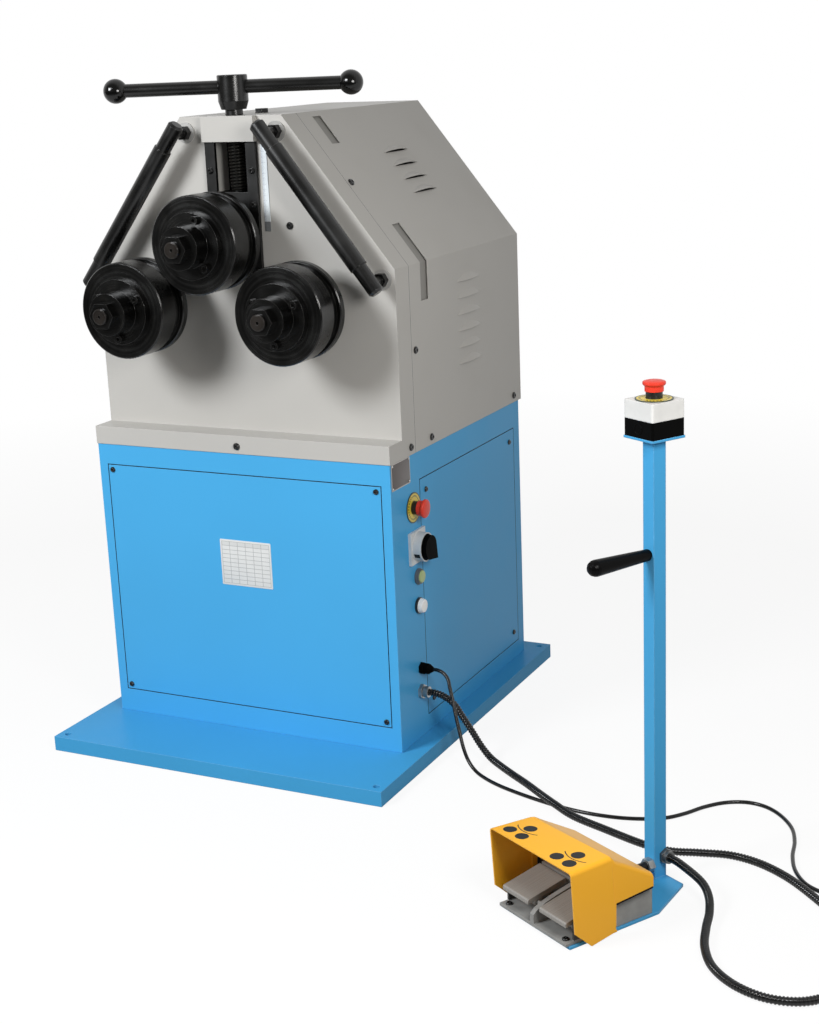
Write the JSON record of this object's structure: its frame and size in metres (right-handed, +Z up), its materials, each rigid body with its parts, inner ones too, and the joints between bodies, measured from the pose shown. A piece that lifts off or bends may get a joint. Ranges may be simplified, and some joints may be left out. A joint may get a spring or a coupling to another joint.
{
  "type": "ring roller",
  "caption": "Powered ring roller: overhung bending rolls on a cabinet, T-handle pressing screw, side controls and a separate post with guarded foot pedals.",
  "frame": {"origin": "centre of the base tray's anchor-hole pattern, on the floor", "axes": "+X to the right along the front, +Y to the back, +Z up; the rolls stand out toward -Y"},
  "size_m": [1.701, 1.2359, 1.316],
  "materials": {
    "blue_paint": "semi-gloss",
    "gray_paint": "semi-gloss",
    "black_steel": "black oxide, oiled",
    "bright_steel": "turned",
    "dark_cast": "plain",
    "bronze": "turned",
    "red_plastic": "gloss",
    "black_plastic": "satin",
    "gray_plastic": "satin",
    "white_plastic": "satin",
    "green_plastic": "gloss",
    "orange_paint": "semi-gloss",
    "alloy": "cast",
    "rule": "satin",
    "zinc": "plated",
    "cord_rubber": "matte",
    "hose_plastic": "satin"
  },
  "bodies": {
    "frame": {"base_plate": "blue_paint", "cabinet_shell": "blue_paint", "front_panel": "blue_paint", "side_panel": "blue_paint", "deck_plate": "dark_cast", "cover_screws": "black_steel", "front_frame": "gray_paint", "rear_frame": "dark_cast", "hood": "gray_paint", "top_block": "black_steel", "slide_gibs": "black_steel", "height_scale": "rule", "guide_bars": "black_steel", "bar_studs": "black_steel", "motor": "dark_cast", "gearbox": "dark_cast", "shaft_bushes": "bronze", "estop_collars": "black_plastic", "isolator_body": "gray_plastic", "start_bezel": "black_plastic", "pilot_lamp": "white_plastic", "mains_gland": "black_plastic", "hose_glands": "zinc", "stand_frame": "blue_paint", "control_box_base": "black_plastic", "control_box_lid": "white_plastic", "stand_grip": "black_plastic", "pedal_base": "alloy", "pedal_guard": "orange_paint", "pedal_pin": "bright_steel", "mains_lead": "cord_rubber", "mains_coil": "cord_rubber", "mains_plug": "black_plastic", "hose": "hose_plastic"},
    "left_roll": {"left_shaft": "bright_steel", "left_rings": "black_steel", "left_cap": "black_steel", "left_fasteners": "black_steel", "left_gear": "bright_steel"},
    "right_roll": {"right_shaft": "bright_steel", "right_rings": "black_steel", "right_cap": "black_steel", "right_fasteners": "black_steel", "right_gear": "bright_steel"},
    "pinion": {"drive_pinion": "bright_steel"},
    "carriage": {"carriage": "black_steel"},
    "screw": {"press_screw": "bright_steel", "handle_hub": "black_steel", "handle_bar": "black_steel", "handle_balls": "black_plastic"},
    "top_roll": {"top_shaft": "bright_steel", "top_rings": "black_steel", "top_cap": "black_steel", "top_fasteners": "black_steel"},
    "estop": {"estop_button": "red_plastic"},
    "stand_estop": {"stand_estop_button": "red_plastic"},
    "isolator": {"isolator_knob": "black_plastic"},
    "start": {"start_button": "green_plastic"},
    "left_foot": {"left_pedal": "alloy"},
    "right_foot": {"right_pedal": "alloy"}
  },
  "joints": [
    {"name": "left_roll_turn", "type": "hinge", "parent": "frame", "child": "left_roll", "pos_m": [-0.17, -0.2, 0.893], "axis": [0, 1, 0], "continuous": true},
    {"name": "right_roll_turn", "type": "hinge", "parent": "frame", "child": "right_roll", "pos_m": [0.17, -0.2, 0.893], "axis": [0, 1, 0], "continuous": true},
    {"name": "pinion_turn", "type": "hinge", "parent": "frame", "child": "pinion", "pos_m": [0, 0.1, 0.893], "axis": [0, 1, 0], "continuous": true},
    {"name": "carriage_slide", "type": "slide", "parent": "frame", "child": "carriage", "axis": [0, 0, 1], "range_m": [-0.008, 0.08]},
    {"name": "screw_turn", "type": "hinge", "parent": "carriage", "child": "screw", "pos_m": [0, -0.178, 1.2], "axis": [0, 0, 1], "range_deg": [-479, 4799]},
    {"name": "top_roll_turn", "type": "hinge", "parent": "carriage", "child": "top_roll", "pos_m": [0, -0.2, 1.018], "axis": [0, 1, 0], "continuous": true},
    {"name": "estop_press", "type": "slide", "parent": "frame", "child": "estop", "axis": [-1, 0, 0], "range_m": [0, 0.005]},
    {"name": "stand_estop_press", "type": "slide", "parent": "frame", "child": "stand_estop", "axis": [0, 0, -1], "range_m": [0, 0.005]},
    {"name": "isolator_turn", "type": "hinge", "parent": "frame", "child": "isolator", "pos_m": [0.345, -0.153, 0.423], "axis": [1, 0, 0], "range_deg": [0, 90]},
    {"name": "start_press", "type": "slide", "parent": "frame", "child": "start", "axis": [-1, 0, 0], "range_m": [0, 0.003], "stiffness_N_per_m": 400, "springref_m": -0.002},
    {"name": "left_pedal_press", "type": "hinge", "parent": "frame", "child": "left_foot", "pos_m": [0.81016, -0.71244, 0.033], "axis": [-0.866, 0.5, 0], "range_deg": [0, 8], "stiffness_Nm_per_rad": 4, "springref_deg": -8.59},
    {"name": "right_pedal_press", "type": "hinge", "parent": "frame", "child": "right_foot", "pos_m": [0.81016, -0.71244, 0.033], "axis": [-0.866, 0.5, 0], "range_deg": [0, 8], "stiffness_Nm_per_rad": 4, "springref_deg": -8.59}
  ],
  "couplings": [
    {"joint": "right_roll_turn", "follows": "left_roll_turn", "ratio": 1},
    {"joint": "pinion_turn", "follows": "left_roll_turn", "ratio": -1.4286},
    {"joint": "carriage_slide", "follows": "screw_turn", "m_per_rad": 0.00095493}
  ]
}
